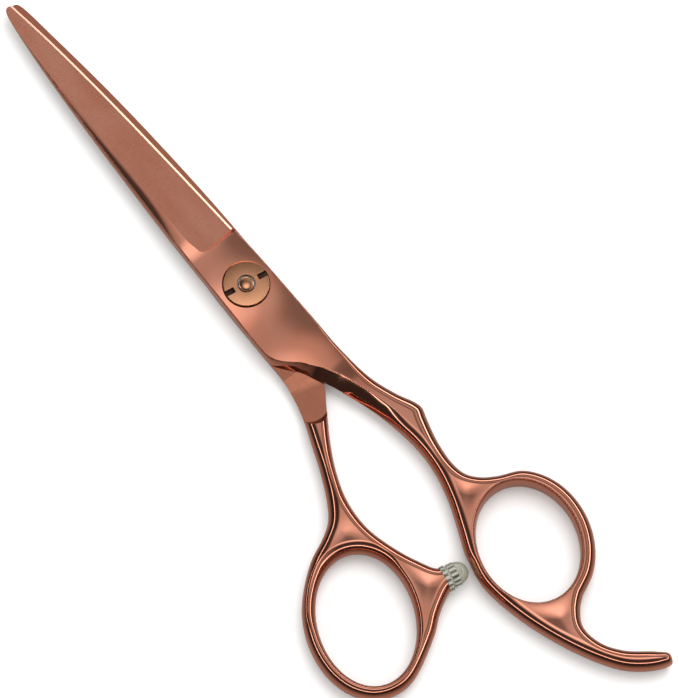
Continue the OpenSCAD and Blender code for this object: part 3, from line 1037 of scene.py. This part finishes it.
def bearing_steel():
    m = Nodes("bearing_steel_lapped")
    m.set(Metallic=1.0)
    grain = m.noise(m.scaled(6), 4, 0.6)
    m.into(Base_Color=m.colours(grain, (0.62, 0.62, 0.63), (0.5, 0.5, 0.51)),
           Roughness=m.remap(grain, 0.3, 0.7, 0.12, 0.24))
    m.bump(grain, 0.004, 0.2)
    return m.material


def cage_brass():
    m = Nodes("stamped_brass")
    m.set(Metallic=1.0)
    grain = m.noise(m.scaled(3), 5, 0.65)
    m.into(Base_Color=m.tint(grain, 0.3, 0.7, (0.78, 0.57, 0.24), (0.6, 0.42, 0.17)),
           Roughness=m.remap(grain, 0.3, 0.7, 0.25, 0.42))
    m.bump(grain, 0.01, 0.25)
    return m.material


def white_polymer():
    m = Nodes("white_polymer_moulded")
    m.set(IOR=1.46, Subsurface_Weight=0.08, Subsurface_Scale=0.0005)
    grain = m.noise(m.scaled(7), 5, 0.6)
    m.into(Base_Color=m.tint(grain, 0.3, 0.7, (0.86, 0.85, 0.81), (0.76, 0.75, 0.7)),
           Roughness=m.remap(grain, 0.3, 0.7, 0.42, 0.6))
    m.bump(grain, 0.01, 0.25)
    return m.material


PAINTED_SHADE_COAT = painted_shade_coat()
# The last slot of both lists is the nearly black painted shade of recesses, slots and bores
STEEL = [polished_rose_gold(), ground_rose_gold(), honed_highlight_rose_gold(), lapped_shaded_rose_gold(), PAINTED_SHADE_COAT]
FITTING = [turned_bronze()] * 4 + [PAINTED_SHADE_COAT]
# The rib material is painted whiter as a highlight and the groove material darker as shade
SILICONE = [silicone("silicone_body", (0.8, 0.82, 0.68), (0.66, 0.68, 0.54)),
            silicone("silicone_rib_highlight", (0.97, 0.97, 0.92), (0.88, 0.88, 0.8)),
            silicone("silicone_groove_shade", (0.36, 0.35, 0.27), (0.16, 0.15, 0.11))]
PLAIN_STEEL = bearing_steel()
POLYMER = white_polymer()


def paint(obj, materials):
    """Fills the object's slots with the materials, or all of them with one."""
    slots = obj.data.materials
    if not slots:
        slots.append(None)
    for i in range(len(slots)):
        slots[i] = materials[i] if len(materials) > 1 else materials[0]


NODE_MATERIALS = {
    "pivot_bushing": POLYMER, "ride_washer": POLYMER, "lock_ring": POLYMER,
    "lower_race": PLAIN_STEEL, "upper_race": PLAIN_STEEL, "bearing_balls": PLAIN_STEEL,
    "bumper_post": PLAIN_STEEL, "ball_cage": cage_brass(),
}
for node, material in NODE_MATERIALS.items():
    paint(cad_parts[node], [material])

PIECES = [
    (finger_blade, "finger_half", "finger_blade", "rose_gold_steel", STEEL),
    (finger_handle, "finger_half", "finger_handle", "rose_gold_steel", STEEL),
    (thumb_blade, "thumb_half", "thumb_blade", "rose_gold_steel", STEEL),
    (thumb_handle, "thumb_half", "thumb_handle", "rose_gold_steel", STEEL),
    (dial, "dial", "tension_dial", "bronze_steel", FITTING),
    (stud, "thumb_half", "pivot_stud", "bronze_steel", FITTING),
    (bumper, "thumb_half", "bumper_cap", "clear_silicone", SILICONE),
]
for piece, body, node, slot, materials in PIECES:
    paint(piece, materials)
    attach(piece, body)
    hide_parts(node)

# ----------------------------------------
# Floor, light and camera
# ----------------------------------------
AIM = Vector((19.8, 6.2, MATING_Z)) * MM
AZIMUTH = 51.7
ELEVATION = 73.0
VIEW_HEIGHT = 128.3 * MM
LENS = 1000.0
SENSOR = 36.0


def direction(azimuth, elevation):
    """Towards a viewer: azimuth in degrees from -Y round towards +X, elevation from level."""
    a, e = math.radians(azimuth), math.radians(elevation)
    return Vector((math.sin(a) * math.cos(e), -math.cos(a) * math.cos(e), math.sin(e)))


def floor():
    """A pale paper floor, darker in what the metal reflects of it."""
    half = 6.0
    obj = new_object("floor", [(-half, -half, 0), (half, -half, 0), (half, half, 0), (-half, half, 0)],
                     [(0, 1, 2, 3)])
    m = Nodes("floor_paper")
    grain = m.noise(m.scaled(0.05), 3)
    m.into(Base_Color=m.colours(grain, (0.9, 0.9, 0.9), (0.88, 0.88, 0.88)))
    m.set(Roughness=0.9, Specular_IOR_Level=0.1)
    out = m.tree.nodes["Material Output"]
    path = m.add("ShaderNodeLightPath")
    facing = m.add("ShaderNodeLayerWeight")
    facing.inputs["Blend"].default_value = 0.5
    dim = m.add("ShaderNodeBsdfDiffuse")
    dim_colour = m.colours(facing.outputs["Facing"], (0.42, 0.38, 0.36), (0.02, 0.018, 0.018))
    m.link(dim_colour, dim.inputs["Color"])
    mix = m.add("ShaderNodeMixShader")
    m.link(path.outputs["Is Glossy Ray"], mix.inputs["Fac"])
    m.link(m.shader.outputs["BSDF"], mix.inputs[1])
    m.link(dim.outputs["BSDF"], mix.inputs[2])
    m.link(mix.outputs["Shader"], out.inputs["Surface"])
    obj.data.materials.append(m.material)


def ramp(nodes, stops):
    """A smooth grey ramp through [degrees from overhead, brightness] stops, and its full brightness."""
    brightest = max(b for _, b in stops)
    node = nodes.new("ShaderNodeValToRGB")
    node.color_ramp.interpolation = "EASE"
    points = node.color_ramp.elements
    while len(points) < len(stops):
        points.new(0.5)
    for point, (angle, bright) in zip(points, stops):
        point.position = angle / 90
        point.color = (bright / brightest,) * 3 + (1,)
    return node, brightest


# Brightness of the studio at each angle from overhead, on the +Y side and on the -Y side
PLUS_SIDE = [(0, 1.6), (8, 1.5), (13, 1.05), (17, 0.66), (23, 0.25), (29, 0.2), (36, 0.5), (47, 0.52),
             (54, 0.12), (62, 0.08), (66, 2.6), (72, 4.0), (76, 0.3), (82, 0.04), (90, 0.03)]
MINUS_SIDE = [(0, 1.6), (8, 1.5), (18, 0.5), (26, 0.08), (44, 0.04), (52, 0.12), (60, 0.1),
              (62.5, 3.2), (64.5, 3.2), (67, 0.15), (72, 0.04), (90, 0.03)]


def studio():
    """A pale room to the camera, but a softbox overhead and low strips to everything shiny."""
    world = bpy.data.worlds.new("studio")
    bpy.context.scene.world = world
    world.use_nodes = True
    tree = world.node_tree
    nodes, links = tree.nodes, tree.links
    nodes.clear()
    where = nodes.new("ShaderNodeTexCoord")
    parts = nodes.new("ShaderNodeSeparateXYZ")
    links.new(where.outputs["Generated"], parts.inputs["Vector"])

    def calc(operation, a, b=None):
        node = nodes.new("ShaderNodeMath")
        node.operation = operation
        for socket, value in zip(node.inputs, (a, b)):
            if isinstance(value, (int, float)):
                socket.default_value = value
            elif value is not None:
                links.new(value, socket)
        return node.outputs["Value"]

    angle = calc("DIVIDE", calc("ARCCOSINE", parts.outputs["Z"]), math.pi / 2)
    sides = []
    for stops in (MINUS_SIDE, PLUS_SIDE):
        node, brightest = ramp(nodes, stops)
        links.new(angle, node.inputs["Fac"])
        sides.append(calc("MULTIPLY", node.outputs["Color"], brightest))
    level = calc("SQRT", calc("ADD", calc("MULTIPLY", parts.outputs["X"], parts.outputs["X"]),
                              calc("MULTIPLY", parts.outputs["Y"], parts.outputs["Y"])))
    toward = nodes.new("ShaderNodeMapRange")
    toward.interpolation_type = "SMOOTHSTEP"
    toward.inputs["From Min"].default_value = -0.1
    toward.inputs["From Max"].default_value = 0.85
    links.new(calc("DIVIDE", parts.outputs["Y"], calc("MAXIMUM", level, 0.001)), toward.inputs["Value"])
    blend = calc("ADD", sides[0], calc("MULTIPLY", toward.outputs["Result"],
                                       calc("SUBTRACT", sides[1], sides[0])))
    path = nodes.new("ShaderNodeLightPath")
    shiny = nodes.new("ShaderNodeBackground")
    links.new(blend, shiny.inputs["Color"])
    plain = nodes.new("ShaderNodeBackground")
    plain.inputs["Color"].default_value = (0.96, 0.96, 0.95, 1)
    plain.inputs["Strength"].default_value = 1.2
    mix = nodes.new("ShaderNodeMixShader")
    out = nodes.new("ShaderNodeOutputWorld")
    links.new(path.outputs["Is Glossy Ray"], mix.inputs["Fac"])
    links.new(plain.outputs["Background"], mix.inputs[1])
    links.new(shiny.outputs["Background"], mix.inputs[2])
    links.new(mix.outputs["Shader"], out.inputs["Surface"])


def key_light():
    """One large soft light, which the metal doesn't mirror."""
    light = bpy.data.lights.new("key", "AREA")
    light.shape = "SQUARE"
    light.size = 0.6
    light.energy = 3.0
    obj = bpy.data.objects.new("key", light)
    obj.location = AIM + 0.7 * direction(200, 60)
    obj.rotation_euler = (AIM - obj.location).to_track_quat("-Z", "Y").to_euler()
    obj.visible_glossy = False
    bpy.context.scene.collection.objects.link(obj)


def camera():
    data = bpy.data.cameras.new("camera")
    data.lens = LENS
    data.sensor_width = SENSOR
    data.clip_start = 0.1
    data.clip_end = 40
    obj = bpy.data.objects.new("camera", data)
    back = direction(AZIMUTH, ELEVATION)
    obj.location = AIM + back * (VIEW_HEIGHT * LENS / SENSOR)
    obj.rotation_euler = back.to_track_quat("Z", "Y").to_euler()
    bpy.context.scene.collection.objects.link(obj)
    bpy.context.scene.camera = obj


floor()
studio()
key_light()
camera()
bpy.context.scene.view_settings.view_transform = "Standard"
